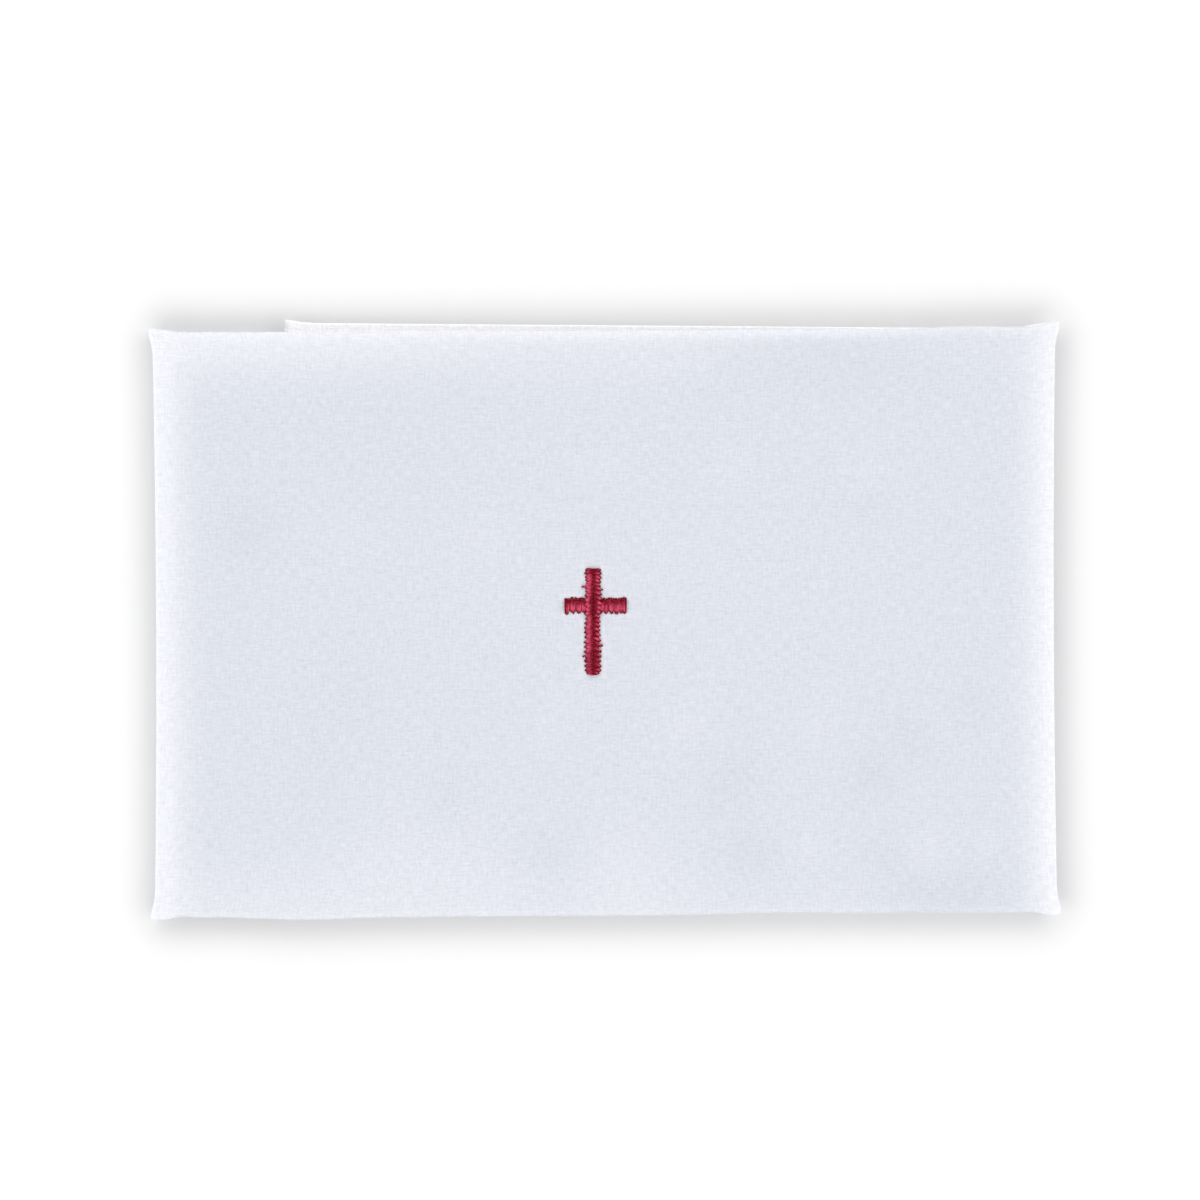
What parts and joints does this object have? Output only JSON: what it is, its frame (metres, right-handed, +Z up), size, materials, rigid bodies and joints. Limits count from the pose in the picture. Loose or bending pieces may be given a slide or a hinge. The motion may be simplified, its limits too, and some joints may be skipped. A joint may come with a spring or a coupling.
{
  "type": "folded purificator with embroidered cross",
  "caption": "White altar cloth folded flat in thirds both ways, with an embroidered red cross on its face; a communion napkin for wiping the chalice.",
  "frame": {"origin": "under the middle of the folded cloth, on the surface that it rests on", "axes": "+X along the folded cloth's long side, +Y across it towards its far side and the head of the cross, +Z up out of the face"},
  "size_m": [0.1538, 0.1016, 0.005],
  "materials": {
    "white_cloth": "plain-woven, pressed, matte",
    "red_thread": "satin stitch in stranded thread, soft gloss"
  },
  "bodies": {
    "root": {"purificator_cloth": "white_cloth", "embroidered_cross": "red_thread"}
  },
  "joints": []
}
